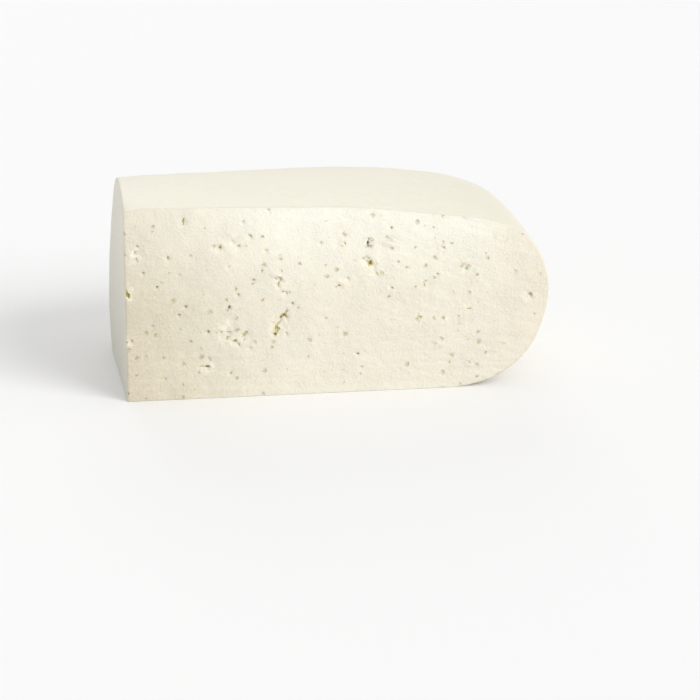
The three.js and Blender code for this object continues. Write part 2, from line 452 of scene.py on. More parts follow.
# %% [markdown]
# Each kind of surface has its own relief. The long cut has the knife's ripples, small lumps, a
# grain of a millimetre or two that comes and goes, and a torn surface in the crumbly places. The
# knife drew slanting strokes across the right part, and a saw-like run near the foot. The short
# cut and the pressed skin are calmer. Heights and sizes are in millimetres.

# %% Relief of the cuts and the skin
def long_cut_relief(points):
    x, y, z = points.T
    right = ramp(x, run=40 * MM, start=70 * MM)
    foot = ramp(z, run=-12 * MM, start=30 * MM)
    grainy = patches(points, mean=0.4, swing=1.2, size=14, seed=11, least=0.1)
    ripple = bumps(points, height=0.16, size=7, seed=2)
    lumps = bumps(points, height=0.17, size=3.6, seed=10)
    grain = bumps(points, height=0.12, size=1.6, seed=3, share=grainy)
    torn = bumps(points, height=0.68, size=1.9, seed=15, share=crumbs(points), lift=0.1)
    drawn = strokes(points, height=0.11, slope=20, length=14, width=1.9, seed=4, share=right)
    sawn = strokes(points, height=0.18, slope=1, length=30, width=1.5, seed=5, share=foot)
    return ripple + lumps + grain + torn + drawn + sawn


def short_cut_relief(points):
    ripple = bumps(points, height=0.16, size=11, seed=6)
    return ripple + bumps(points, height=0.05, size=2.8, seed=7)


def skin_relief(points):
    waves = bumps(points, height=0.2, size=12, seed=8)
    return waves + bumps(points, height=0.05, size=3.2, seed=9)


print("skin at the corner's foot:", round(skin_relief(np.zeros((1, 3)))[0] / MM, 3), "mm")

# %% [markdown]
# Where the grains of curd didn't knit together, the cut opens into small pockets. Some of them
# lie in a shallow scoop, where the knife pulled a grain out. The pockets are listed here as they
# are read off the cut: distance from the sharp edge, height, width, tallness, turn to the right in
# degrees and depth. All but the turn are in millimetres.

# %% Pockets of the long cut
widest_hole = [
    (97.3, 53.4, 2.4, 2.9, 0, 1.9),
    (96.3, 55.6, 2.4, 0.9, 25, 0.8),
    (94.6, 55.4, 1.1, 0.8, -20, 0.9),
    (99.8, 53.0, 1.3, 1.6, 0, 0.6),
    (100.1, 48.9, 0.8, 2.4, -40, 0.8),
]
crack = [
    (62.9, 33.3, 2.5, 2.2, 0, 1.6),
    (61.6, 32.4, 1.4, 1.2, 0, 1.7),
    (64.0, 34.9, 0.7, 2.2, 35, 1.0),
    (63.9, 32.6, 1.4, 0.9, 30, 0.9),
    (60.6, 30.2, 0.8, 4.6, 38, 1.0),
    (59.9, 27.4, 2.6, 3.9, 8, 1.4),
    (59.4, 25.4, 1.3, 1.6, 10, 1.4),
    (63.9, 25.7, 0.6, 1.8, -35, 0.6),
    (58.5, 30.6, 0.5, 0.8, 20, 0.4),
]
ring_and_chain = [
    (59.7, 48.6, 0.6, 1.9, -30, 1.0),
    (60.9, 49.0, 1.5, 0.6, 20, 0.9),
    (61.6, 48.1, 0.6, 1.5, 10, 0.9),
    (60.9, 46.8, 1.1, 0.7, -40, 0.9),
    (60.8, 45.9, 0.7, 1.2, 0, 0.9),
    (62.5, 43.1, 1.0, 1.0, 0, 1.1),
    (64.0, 42.6, 0.6, 2.2, -25, 0.7),
    (65.2, 42.8, 0.6, 1.1, -15, 0.6),
    (66.4, 38.3, 1.1, 1.2, 0, 1.1),
]
left_side = [
    (23.6, 73.4, 1.3, 3.6, 4, 1.2),
    (17.3, 58.9, 1.0, 2.2, 5, 1.0),
    (5.4, 64.0, 1.3, 0.8, 20, 0.7),
    (4.4, 61.5, 0.5, 2.3, -10, 0.5),
    (5.0, 58.7, 0.6, 2.5, -15, 0.6),
    (7.6, 53.0, 1.0, 0.9, 0, 0.9),
    (12.8, 47.2, 1.1, 1.1, 0, 1.2),
    (21.7, 52.0, 1.1, 0.6, 0, 0.4),
    (1.0, 44.5, 1.7, 3.6, -22, 1.5),
    (23.9, 38.5, 1.3, 1.2, 0, 1.0),
    (21.3, 35.3, 1.1, 1.0, 0, 0.9),
    (10.7, 31.2, 1.5, 0.6, 15, 0.4),
    (2.4, 25.2, 0.7, 1.9, 20, 0.7),
    (0.3, 24.8, 1.1, 1.1, 0, 0.7),
    (7.7, 18.9, 0.6, 1.1, 0, 0.5),
    (15.3, 9.0, 0.9, 0.8, 0, 0.6),
]
above_the_crack = [
    (49.9, 66.6, 2.3, 1.3, 38, 0.9),
    (47.2, 72.6, 0.9, 0.9, 0, 0.7),
    (57.2, 77.0, 0.9, 0.8, 0, 0.7),
    (43.0, 64.6, 0.5, 2.3, -20, 0.5),
    (45.3, 62.6, 1.8, 0.8, -10, 0.9),
    (37.8, 62.4, 1.6, 1.9, 0, 1.2),
    (35.4, 63.0, 1.0, 1.7, -20, 0.6),
    (54.3, 52.0, 1.0, 1.0, 0, 0.9),
    (50.8, 48.5, 1.3, 1.0, 0, 0.9),
    (44.8, 42.6, 1.1, 1.4, 0, 0.9),
    (41.2, 37.5, 1.5, 1.8, 0, 1.3),
    (56.2, 60.4, 1.3, 0.6, 20, 0.5),
    (41.3, 54.4, 1.6, 0.5, -20, 0.4),
]
low_row = [
    (32.7, 27.8, 1.5, 1.2, 0, 1.1),
    (35.7, 27.4, 1.0, 0.7, 0, 0.4),
    (37.9, 27.5, 0.9, 0.9, 0, 0.6),
    (40.9, 27.3, 3.8, 0.6, 2, 0.7),
    (46.7, 25.8, 1.6, 1.6, -10, 1.2),
    (47.6, 26.9, 2.5, 1.7, -30, 0.8),
    (43.2, 23.4, 1.8, 1.3, 10, 1.3),
    (44.8, 22.1, 0.6, 1.7, -30, 0.7),
    (32.0, 13.3, 3.0, 0.9, 4, 1.5),
    (29.6, 13.5, 2.0, 0.6, -5, 0.7),
    (32.9, 16.9, 0.6, 1.5, -35, 0.5),
    (41.5, 10.2, 0.9, 1.1, 0, 0.8),
    (49.4, 20.5, 1.3, 0.6, 25, 0.4),
]
right_side = [
    (96.4, 61.7, 1.1, 1.5, 15, 2.2),
    (96.7, 60.6, 0.9, 1.0, -30, 1.0),
    (96.8, 63.5, 1.2, 1.0, -25, 0.9),
    (105.8, 67.6, 1.1, 1.1, 0, 1.2),
    (104.0, 64.1, 1.0, 1.0, 0, 0.9),
    (106.1, 59.2, 0.9, 0.9, 0, 0.7),
    (108.7, 53.5, 1.0, 1.0, 0, 0.9),
    (106.1, 43.0, 1.0, 1.0, 20, 1.1),
    (77.9, 62.6, 1.0, 1.0, 0, 0.7),
    (86.0, 61.0, 1.3, 0.9, 20, 0.8),
    (87.3, 62.0, 0.8, 1.3, -20, 0.7),
    (126.9, 58.8, 1.2, 1.2, 0, 0.9),
    (126.6, 61.2, 0.7, 1.3, 0, 0.5),
    (136.5, 50.9, 2.4, 1.0, 0, 0.9),
    (136.3, 49.8, 0.8, 2.3, 0, 0.8),
    (124.5, 48.0, 1.0, 1.0, 0, 0.8),
    (119.6, 45.2, 1.3, 1.2, 0, 0.9),
    (88.5, 47.7, 1.0, 0.8, 30, 0.7),
    (85.0, 44.7, 1.6, 1.2, 0, 1.0),
    (117.2, 30.4, 2.5, 1.2, 25, 1.0),
    (126.9, 29.5, 1.8, 1.0, -10, 0.8),
    (133.1, 30.0, 0.9, 0.8, 0, 0.7),
    (137.3, 32.9, 1.9, 0.7, 3, 1.0),
    (162.4, 37.7, 2.6, 2.4, 0, 0.9),
    (164.0, 29.6, 1.0, 0.8, 0, 0.7),
    (92.5, 15.9, 1.2, 1.0, 0, 1.3),
    (97.9, 76.0, 2.3, 0.7, 20, 0.5),
]
listed_pockets = [
    *widest_hole,
    *crack,
    *ring_and_chain,
    *left_side,
    *above_the_crack,
    *low_row,
    *right_side,
]
print("pockets listed by hand:", len(listed_pockets))

# %% [markdown]
# A scoop is a shallow bowl with a rough floor. It is part of the relief, so it needs no mesh of
# its own. A few large ones are listed, with distance, height, radius and depth in millimetres.
# Each pocket gets a small one as well, a little to the left of it and below.

# %% Scoops beside the pockets
SCOOP_SHIFT = 0.4
SCOOP_MARGIN = 0.4
SCOOP_SHARE = 0.5
SCOOP_ROUGHNESS = 1.3
large_scoops = [
    (63.3, 29.3, 2.6, 0.45),
    (44.2, 25.2, 2.6, 0.45),
    (98.6, 51.0, 2.8, 0.35),
    (161.4, 36.6, 2.6, 0.30),
    (31.5, 12.0, 2.4, 0.25),
    (36.6, 61.4, 2.6, 0.25),
    (43.8, 63.8, 2.2, 0.20),
    (5.6, 61.0, 3.0, 0.25),
]
small_scoops = [
    (x - SCOOP_SHIFT, z - SCOOP_SHIFT, (width + tall) / 2 + SCOOP_MARGIN, SCOOP_SHARE * depth**0.5)
    for x, z, width, tall, turn, depth in listed_pockets
]


def scooped(points):
    total = np.zeros(len(points))
    for *spot, depth in large_scoops + small_scoops:
        total += depth * MM * np.clip(1 - from_spot(points, *spot) ** 2, 0, 1) ** 2
    return total * (1 + SCOOP_ROUGHNESS * wander(points, size=1.6 * MM, seed=12))


print("scoops:", len(large_scoops), "large and", len(small_scoops), "small")

# %% [markdown]
# Which relief a point gets depends on the way it faces. Weights taken from the normal blend the
# three kinds across the soft edges, so that no step shows there. The base stays flat, because
# the table pressed it.

# %% Apply the relief
FACING_POWER = 4
NEAR_LONG_CUT = 2 * MM
NEAR_SHORT_CUT = 6 * MM
CALM_FOOT = 3 * MM


def relief(points, normals):
    on_long = np.clip(-normals[:, 1], 0, 1) ** FACING_POWER * (points[:, 1] < NEAR_LONG_CUT)
    on_short = np.clip(-normals[:, 0], 0, 1) ** FACING_POWER * (points[:, 0] < NEAR_SHORT_CUT)
    on_skin = 1 - np.clip(on_long + on_short, 0, 1)
    height = swell(points)
    height += on_long * (long_cut_relief(points) - scooped(points))
    height += on_short * short_cut_relief(points)
    height += on_skin * skin_relief(points)
    return height * ramp(points[:, 2], CALM_FOOT)


flat_points = points_of(cheese)
normals = np.empty(3 * len(cheese.data.vertices))
cheese.data.vertex_normals.foreach_get("vector", normals)
normals = normals.reshape(-1, 3)
heights = relief(flat_points - cut_corner, normals)
place_points(cheese, flat_points + normals * heights[:, None])
print("relief from", round(heights.min() / MM, 2), "to", round(heights.max() / MM, 2), "mm")

# %% [markdown]
# The finishes need to know two things later: how near a place is to a knife edge, where the curd
# gets a thin painted shade and looks a little darker, and how crumbly it is. Both are stored on the
# points as attributes, which a material can read. They are measured on the flat points, before the
# relief moved them.

# %% Values kept on the points
RIM_WIDTH = 1.3 * MM


def keep_on_points(piece, name, values):
    kept = piece.data.attributes.new(name, "FLOAT", "POINT")
    kept.data.foreach_set("value", values)


edge_tree = kdtree.KDTree(len(edge_line))
for number, point in enumerate(edge_line):
    edge_tree.insert(point, number)
edge_tree.balance()
to_edge = np.array([edge_tree.find(point)[2] for point in flat_points])
keep_on_points(cheese, "rim", np.clip(1 - to_edge / RIM_WIDTH, 0, 1))
keep_on_points(cheese, "crumbs", crumbs(flat_points - cut_corner))
print("points on a rim:", int((to_edge < RIM_WIDTH).sum()), "of", len(to_edge))

# %% [markdown]
# A pocket between grains has a ragged outline and an uneven wall, like the gap between pebbles. A
# ball is the start, and noise roughens it. Its depth is squared, which turns the ball's steep rim
# into the sloping one of a bowl. A fine ball is for deep pockets and a plain one for the rest,
# and each pocket is a copy with its own mesh. Its points keep how deep they lie, for the colour.

# %% Shape a pocket
WALL_ROUGHNESS = 0.7
LUMP_SIZE = 0.6
LUMP_SEEDS = (0, 90)
SEED = 4083
chance = random.Random(SEED)


def ball(name, segments, rings):
    bpy.ops.mesh.primitive_uv_sphere_add(
        segments=segments, ring_count=rings, radius=1, rotation=(math.radians(90), 0, 0)
    )
    piece = settle(name)
    piece.data.materials.append(finishes[WALL])
    return piece


def pocket_shape(unit, width, tall, turn, depth):
    side, inward, up = unit.T
    rough = 1 + WALL_ROUGHNESS * wander(unit, LUMP_SIZE, chance.uniform(*LUMP_SEEDS))
    side = side * rough * width / 2
    up = up * rough * tall / 2
    tilt = math.radians(turn)
    across = side * math.cos(tilt) + up * math.sin(tilt)
    height = up * math.cos(tilt) - side * math.sin(tilt)
    return np.stack([across, inward * np.abs(inward) * rough * depth, height], 1) * MM


def pocket(pattern, shape, inward):
    piece = pattern.copy()
    piece.data = pattern.data.copy()
    bpy.context.collection.objects.link(piece)
    place_points(piece, shape)
    keep_on_points(piece, "depth inside", np.maximum(inward, 0))
    return piece


fine_ball = ball("fine ball", segments=26, rings=12)
plain_ball = ball("plain ball", segments=12, rings=6)
print("ball points:", len(fine_ball.data.vertices), "and", len(plain_ball.data.vertices))

# %% [markdown]
# Now each listed pocket is put where the relief left the cut's surface. The shallow ones are sunk
# less than the table says, so that they read as light dimples and not as black dots.

# %% Place the listed pockets
FINE_BALL_FROM = 1
DEEP_FROM = 1.3
SHALLOW_SHARE = 0.6


def on_long_cut(x, z):
    place = np.array([[x, 0, z]]) * MM
    height = swell(place) + long_cut_relief(place) - scooped(place)
    return place[0] + cut_corner - np.array([0, height[0], 0])


pockets = []
for x, z, width, tall, turn, depth in listed_pockets:
    pattern = fine_ball if depth > FINE_BALL_FROM else plain_ball
    sunk = depth if depth > DEEP_FROM else SHALLOW_SHARE * depth
    shape = pocket_shape(points_of(pattern), width, tall, turn, sunk)
    pockets.append(pocket(pattern, shape + on_long_cut(x, z), shape[:, 1]))
print("pockets made:", len(pockets))

# %% [markdown]
# Between the listed pockets lie many pinholes, too small to place one by one. They are strewn at
# random over both cuts, clear of the others. The seed is fixed, so each run strews them alike.

# %% Strew the pinholes
PINHOLES_LONG = 24
PINHOLES_SHORT = 16
CLEARANCE = 2.2 * MM
EDGE_GAP = 2 * MM
CUT_MARGIN = 3 * MM
PINHOLE_WIDTHS = (0.5, 0.9)
PINHOLE_PROPORTIONS = (0.6, 1.6)
PINHOLE_TURNS = (-60, 60)
PINHOLE_DEPTHS = (0.15, 0.35)


def inside_cut(x, y, z):
    below_top = fullness(x, y, z + CUT_MARGIN) < 1
    return z > CUT_MARGIN and below_top and fullness(x + CUT_MARGIN, y, z) < 1


def strewn(count, run, taken, point_at):
    places = []
    while len(places) < count:
        along = chance.uniform(EDGE_GAP, run)
        up = chance.uniform(EDGE_GAP, HEIGHT)
        clear = all(math.hypot(along - a, up - u) > CLEARANCE for a, u in taken + places)
        if clear and inside_cut(*point_at(along, up)):
            places.append((along, up))
    return places


def pinhole_shape():
    width = chance.uniform(*PINHOLE_WIDTHS)
    tall = width * chance.uniform(*PINHOLE_PROPORTIONS)
    turn = chance.uniform(*PINHOLE_TURNS)
    depth = chance.uniform(*PINHOLE_DEPTHS)
    return pocket_shape(points_of(plain_ball), width, tall, turn, depth)


taken = [(x * MM, z * MM) for x, z, *_ in listed_pockets]
for x, z in strewn(PINHOLES_LONG, LENGTH, taken, lambda x, z: (x, 0, z)):
    shape = pinhole_shape()
    pockets.append(pocket(plain_ball, shape + on_long_cut(x / MM, z / MM), shape[:, 1]))
for y, z in strewn(PINHOLES_SHORT, DEPTH, [], lambda y, z: (short_cut(y, z), y, z)):
    place = np.array([short_cut(y, z), y, z])
    height = swell(place[None])[0] + short_cut_relief(place[None])[0]
    shape = pinhole_shape()[:, [1, 0, 2]] * [1, -1, 1]
    pockets.append(pocket(plain_ball, shape + place + cut_corner - [height, 0, 0], shape[:, 0]))
print("pockets and pinholes:", len(pockets))

# %% [markdown]
# All pockets go into one collection, and one Boolean takes them out of the piece. The manifold
# solver is quick, and it copes with pockets that run into each other. It hands the pockets'
# material to the walls. The balls and the pockets are then thrown away.

# %% Open the pockets
SMOOTH_BELOW = math.radians(38)
cutters = bpy.data.collections.new("pockets")
for piece in pockets:
    cutters.objects.link(piece)
opening = cheese.modifiers.new("open the pockets", "BOOLEAN")
opening.operation = "DIFFERENCE"
opening.operand_type = "COLLECTION"
opening.collection = cutters
opening.solver = "MANIFOLD"
opening.material_mode = "TRANSFER"
choose(cheese)
bpy.ops.object.modifier_apply(modifier=opening.name)
for piece in (*pockets, fine_ball, plain_ball):
    bpy.data.objects.remove(piece)
bpy.data.collections.remove(cutters)
bpy.ops.object.shade_smooth_by_angle(angle=SMOOTH_BELOW)
print("faces with the pockets:", len(cheese.data.polygons))

# %% [markdown]
# The looks are made with shader nodes. A socket can be given a value or a link, so the first
# helper does either. The second adds a node and fills its sockets by name, where an underscore
# stands for a space. The third does a sum on nodes. The fourth starts a node group with named
# sockets: an effect that several finishes share is built once in such a group, and each finish
# uses it with its own values.

# %% Node helpers
def fill(tree, socket, value):
    if isinstance(value, bpy.types.NodeSocket):
        tree.links.new(value, socket)
    else:
        socket.default_value = value


def add_node(tree, kind, **settings):
    made = tree.nodes.new("ShaderNode" + kind)
    for name, value in settings.items():
        title = name.replace("_", " ")
        if title in made.inputs:
            fill(tree, made.inputs[title], value)
        else:
            setattr(made, name, value)
    return made


def reckon(tree, operation, *values, kind="Math"):
    made = add_node(tree, kind, operation=operation)
    for socket, value in zip(made.inputs, values):
        fill(tree, socket, value)
    return made.outputs[0]


def new_group(name, inputs, outputs):
    group = bpy.data.node_groups.new(name, "ShaderNodeTree")
    for title in inputs:
        kind = "NodeSocketVector" if title == "Vector" else "NodeSocketFloat"
        group.interface.new_socket(name=title, in_out="INPUT", socket_type=kind)
    for title in outputs:
        group.interface.new_socket(name=title, in_out="OUTPUT", socket_type="NodeSocketFloat")
    given = group.nodes.new("NodeGroupInput").outputs
    result = group.nodes.new("NodeGroupOutput").inputs
    return group, given, result


print("materials to fill:", list(finishes))

# %% [markdown]
# Fresh curd isn't one white: it has grains of slightly different creams, and larger clouds of
# warmer and cooler tone. The first group makes both, and the height of the fine grain. It reads
# the place on the piece in Object coordinates, so the pattern is fixed to the piece. Noise
# rarely leaves the middle of its range, so that middle is spread out to 0 to 1.

# %% The curd mottle
NOISE_LOW = 0.32
NOISE_HIGH = 0.68


def curd_mottle():
    group, given, result = new_group(
        "curd mottle", ("Vector", "Grain Size", "Cloud Size"), ("Grain", "Cloud", "Height")
    )
    place = given["Vector"]
    fine = reckon(group, "DIVIDE", 1, given["Grain Size"])
    broad = reckon(group, "DIVIDE", 1, given["Cloud Size"])
    grain = add_node(group, "TexNoise", Vector=place, Scale=fine, Detail=3, Roughness=0.6)
    cloud = add_node(group, "TexNoise", Vector=place, Scale=broad, Detail=2, Roughness=0.5)
    height = add_node(group, "TexNoise", Vector=place, Scale=fine, Detail=4, Roughness=0.65)
    fill(group, height.inputs["Distortion"], 0.4)
    for pattern, title in ((grain, "Grain"), (cloud, "Cloud")):
        shade = pattern.outputs["Fac"]
        spread = add_node(group, "MapRange", Value=shade, From_Min=NOISE_LOW, From_Max=NOISE_HIGH)
        fill(group, result[title], spread.outputs["Result"])
    fill(group, result["Height"], height.outputs["Fac"])
    return group


mottle_group = curd_mottle()
print(mottle_group.name, "has", len(mottle_group.nodes), "nodes")

# %% [markdown]
# The curd is creamier and darker low down at the left, which is painted shade, and whiter towards
# the upper right, which is painted light. This group adds two ramps, one along the cut and one
# upwards. Each row has an axis, where the ramp starts and ends in millimetres, and its share of
# the whole.

# %% Painted light and shade on the curd
PAINTED_LIGHT_RAMPS = (("X", 0, 63, 0.58), ("Z", 38, 74, 0.42))


def node_ramp(tree, place, axis, start, end, most=1):
    offset = cut_corner[0] if axis == "X" else 0
    start, end = offset + start * MM, offset + end * MM
    value = add_node(tree, "SeparateXYZ", Vector=place).outputs[axis]
    made = add_node(tree, "MapRange", Value=value, From_Min=start, From_Max=end, To_Max=most)
    return made.outputs["Result"]


def painted_light_and_shade():
    group, given, result = new_group("painted light and shade", ("Vector",), ("Painted Light",))
    ramps = [node_ramp(group, given["Vector"], *row) for row in PAINTED_LIGHT_RAMPS]
    fill(group, result["Painted Light"], reckon(group, "ADD", *ramps))
    return group


painted_light_group = painted_light_and_shade()
print(painted_light_group.name, "has", len(painted_light_group.nodes), "nodes")

# %% [markdown]
# Pits finer than a pinhole are left to a bump. A Voronoi texture gives one spot to each cell, at
# a place that noise has shifted a little so that the spots aren't round. A cell's own colour is
# its lot: more than half of the cells stay empty, and the others get spots of different radius.

# %% Fine dents
WOBBLE_SCALE = 1100
WOBBLE = 2.2 * MM
EMPTY_CELLS = 0.55
SMALLEST_DENT = 0.01
MIDDLE_GREY = (0.5, 0.5, 0.5)


def curd_dents():
    group, given, result = new_group("curd dents", ("Vector", "Spacing", "Widest"), ("Dent",))
    place = given["Vector"]
    wobble = add_node(group, "TexNoise", Vector=place, Scale=WOBBLE_SCALE, Detail=2)
    centred = reckon(group, "SUBTRACT", wobble.outputs["Color"], MIDDLE_GREY, kind="VectorMath")
    small = add_node(group, "VectorMath", operation="SCALE", Vector=centred, Scale=WOBBLE)
    moved = reckon(group, "ADD", place, small.outputs["Vector"], kind="VectorMath")
    density = reckon(group, "DIVIDE", 1, given["Spacing"])
    cells = add_node(group, "TexVoronoi", Vector=moved, Scale=density)
    lot = add_node(group, "SeparateColor", Color=cells.outputs["Color"])
    radius = add_node(group, "MapRange", Value=lot.outputs["Red"], From_Min=EMPTY_CELLS)
    fill(group, radius.inputs["To Min"], SMALLEST_DENT)
    fill(group, radius.inputs["To Max"], given["Widest"])
    dent = add_node(group, "MapRange", interpolation_type="SMOOTHSTEP", From_Min=0)
    fill(group, dent.inputs["Value"], cells.outputs["Distance"])
    fill(group, dent.inputs["From Max"], radius.outputs["Result"])
    fill(group, dent.inputs["To Min"], 1)
    fill(group, dent.inputs["To Max"], 0)
    fill(group, result["Dent"], dent.outputs["Result"])
    return group


dents_group = curd_dents()
print(dents_group.name, "has", len(dents_group.nodes), "nodes")

# %% [markdown]
# The last group is a painted shade along the knife edges: a thin darker line, as where light falls
# off an edge. It takes the rim value that was stored on the points, and how strong the painted
# shade is on that finish.

# %% The painted rim shade
def painted_rim_shade():
    group, given, result = new_group("painted rim shade", ("Rim", "Strength"), ("Rim Shade",))
    fill(group, result["Rim Shade"], reckon(group, "MULTIPLY", given["Rim"], given["Strength"]))
    return group


rim_shade_group = painted_rim_shade()
print(rim_shade_group.name, "has", len(rim_shade_group.nodes), "nodes")

# %% [markdown]
# Colours are typed in as a screen shows them, so the first helper turns them into the linear
# light that a shader wants, by the sRGB rule. The second mixes two colours by a factor: each is
# a typed colour or the output of a node. The third reads a value that was kept on the points.

# %% Colour helpers
def srgb(red, green, blue):
    values = [channel / 255 for channel in (red, green, blue)]
    return (*(c / 12.92 if c < 0.04045 else ((c + 0.055) / 1.055) ** 2.4 for c in values), 1)


def mixed(tree, factor, first, second):
    mix = add_node(tree, "Mix", data_type="RGBA", Factor=factor)
    colours = [socket for socket in mix.inputs if socket.type == "RGBA"]
    for socket, colour in zip(colours, (first, second)):
        fill(tree, socket, colour if isinstance(colour, bpy.types.NodeSocket) else srgb(*colour))
    return next(socket for socket in mix.outputs if socket.type == "RGBA")


def stored(tree, name):
    return add_node(tree, "Attribute", attribute_name=name).outputs["Fac"]


print("a middle grey in linear light:", round(srgb(128, 128, 128)[0], 3))

# %% [markdown]
# The four finishes are built alike and differ in a few values. The first helper makes what they
# share: grain, clouds, a fine bump, and some subsurface scattering, which lets light bleed
# through the curd as it does in the real one. The other two add the painted light and shade ramps
# and the painted rim shade where a finish needs them.

# %% What the finishes share
SCATTER_WEIGHT = 0.2
SCATTER_RADIUS = (1.0, 0.8, 0.5)
SCATTER_SCALE = 1.0 * MM
# Painted shade: a thin greyer line along the knife edges.
RIM_SHADE_STRENGTH = 0.3
RIM_SHADE_TINT = (205, 200, 192)


def finish(name, darker, lighter, cloud_tint, grain_size, cloud_size, roughness, bump):
    material = finishes[name]
    material.use_nodes = True
    tree = material.node_tree
    shader = tree.nodes["Principled BSDF"].inputs
    place = add_node(tree, "TexCoord").outputs["Object"]
    sizes = {"Grain_Size": grain_size, "Cloud_Size": cloud_size}
    mottle = add_node(tree, "Group", node_tree=mottle_group, Vector=place, **sizes).outputs
    grain = mixed(tree, mottle["Grain"], darker, lighter)
    colour = mixed(tree, mottle["Cloud"], grain, cloud_tint)
    raised = add_node(tree, "Bump", Strength=1, Distance=bump, Height=mottle["Height"])
    fill(tree, shader["Base Color"], colour)
    fill(tree, shader["Normal"], raised.outputs["Normal"])
    shader["Roughness"].default_value = roughness
    shader["Subsurface Weight"].default_value = SCATTER_WEIGHT
    shader["Subsurface Radius"].default_value = SCATTER_RADIUS
    shader["Subsurface Scale"].default_value = SCATTER_SCALE
    return SimpleNamespace(
        tree=tree, shader=shader, place=place, mottle=mottle, colour=colour, raised=raised
    )


def with_painted_light(made, white):
    painted_ramps = add_node(made.tree, "Group", node_tree=painted_light_group, Vector=made.place)
    return mixed(made.tree, painted_ramps.outputs["Painted Light"], made.colour, white)


# Mixes the painted rim shade into a colour.
def with_rim_shade(tree, colour):
    wear_and_rim_shade = add_node(tree, "Group", node_tree=rim_shade_group, Strength=RIM_SHADE_STRENGTH)
    fill(tree, wear_and_rim_shade.inputs["Rim"], stored(tree, "rim"))
    return mixed(tree, wear_and_rim_shade.outputs["Rim Shade"], colour, RIM_SHADE_TINT)


print("finishes to make:", len(finishes))

# %% [markdown]
# The long cut is matt and grainy. Its fine bump is stronger in some clouds than in others, and a
# little weaker in the crumbly places, where the mesh itself is rough. The dents are a second
# bump on top of the first.

# %% The long cut's bumps
MIDDLE_HEIGHT = 0.5
CRUMBS_CALM = -0.2
PATCH_SWING = 0.7
PATCH_LEAST = 0.6
DENT_SPACING = 3.6 * MM
WIDEST_DENT = 0.38
DENT_DEPTH = 0.55 * MM
long_cut = finish(
    LONG,
    darker=(206, 196, 171),
    lighter=(224, 215, 192),
    cloud_tint=(215, 206, 183),
    grain_size=1.0 * MM,
    cloud_size=12 * MM,
    roughness=0.5,
    bump=0.45 * MM,
)
tree, shader, mottle = long_cut.tree, long_cut.shader, long_cut.mottle
crumbly = stored(tree, "crumbs")
level = reckon(tree, "SUBTRACT", mottle["Height"], MIDDLE_HEIGHT)
calmed = reckon(tree, "MULTIPLY", level, reckon(tree, "MULTIPLY_ADD", crumbly, CRUMBS_CALM, 1))
patch = reckon(tree, "MULTIPLY_ADD", mottle["Cloud"], PATCH_SWING, PATCH_LEAST)
fill(tree, long_cut.raised.inputs["Height"], reckon(tree, "MULTIPLY", calmed, patch))
dents = add_node(tree, "Group", node_tree=dents_group, Vector=long_cut.place, Spacing=DENT_SPACING)
fill(tree, dents.inputs["Widest"], WIDEST_DENT)
pitted = add_node(tree, "Bump", Strength=1, Distance=-DENT_DEPTH, Height=dents.outputs["Dent"])
fill(tree, pitted.inputs["Normal"], long_cut.raised.outputs["Normal"])
fill(tree, shader["Normal"], pitted.outputs["Normal"])
print("nodes for the long cut's bumps:", len(tree.nodes))

# %% [markdown]
# Its colour has five layers. The creams whiten to the upper right as painted light and are darker
# to the lower left as painted shade, the rounded end is darkened to beige as painted shade, the
# crumbly places are flecked with light and dark grains of the curd and with painted highlights,
# the rims get a thin painted shade, and the dents have a painted straw shade.

# %% The long cut's colour
END_SHADE_RUN = (142, 170)
DENT_SHADE_SHARE = 0.7
# Painted light and shade: whiter to the upper right, creamier and darker to the lower left.
painted_light_cream = with_painted_light(long_cut, (248, 245, 231))
# Painted shade: the rounded end is darkened to beige.
end_shade_ramp = node_ramp(tree, long_cut.place, "X", *END_SHADE_RUN)
with_end_shade = mixed(tree, end_shade_ramp, painted_light_cream, (235, 226, 207))
# The crumbly places: light and dark grains of the curd, with painted highlights on them.
flecks_and_glints = mixed(tree, mottle["Grain"], (230, 219, 189), (250, 248, 237))
crumbs_and_glints = mixed(tree, crumbly, with_end_shade, flecks_and_glints)
# Painted shade: a darker straw tint in the dents, as light thrown about inside a pit.
dent_shade = reckon(tree, "MULTIPLY", dents.outputs["Dent"], DENT_SHADE_SHARE)
fill(tree, shader["Base Color"], mixed(tree, dent_shade, with_rim_shade(tree, crumbs_and_glints), (215, 194, 133)))
print("nodes for the long cut:", len(tree.nodes))

# %% [markdown]
# The short cut is calmer, because it was cut with a cleaner stroke. Its creams are cooler and more
# neutral, a painted cool shade for the side turned away from the key lamp, and it darkens softly
# towards its foot as painted shade. The pressed skin is smoother and a little glossier than the
# cuts, and its rims get the same painted rim shade as those of the long cut.

# %% The short cut and the pressed skin
FOOT_SHADE = (80, 15)
# Painted shade: the short cut's creams are cooler and more neutral than the long cut's.
short_side = finish(
    SHORT,
    darker=(226, 220, 204),
    lighter=(238, 233, 220),
    cloud_tint=(231, 225, 211),
    grain_size=1.6 * MM,
    cloud_size=16 * MM,
    roughness=0.5,
    bump=0.14 * MM,
)
# Painted shade: darker and cooler towards the foot.
towards_foot = node_ramp(short_side.tree, short_side.place, "Z", *FOOT_SHADE)
shaded = mixed(short_side.tree, towards_foot, short_side.colour, (216, 213, 200))
fill(short_side.tree, short_side.shader["Base Color"], shaded)
skin = finish(
    SKIN,
    darker=(229, 224, 204),
    lighter=(237, 232, 214),
    cloud_tint=(233, 228, 209),
    grain_size=2.4 * MM,
    cloud_size=22 * MM,
    roughness=0.42,
    bump=0.1 * MM,
)
fill(skin.tree, skin.shader["Base Color"], with_rim_shade(skin.tree, skin.colour))
print("nodes:", len(short_side.tree.nodes), "short cut,", len(skin.tree.nodes), "skin")

# %% [markdown]
# Light that enters a pocket is thrown to and fro between its walls and comes out a deep straw
# yellow. The renderer does a part of that, and the finish does the rest: the walls go from
# cream at the cut to straw at a millimetre and a half.

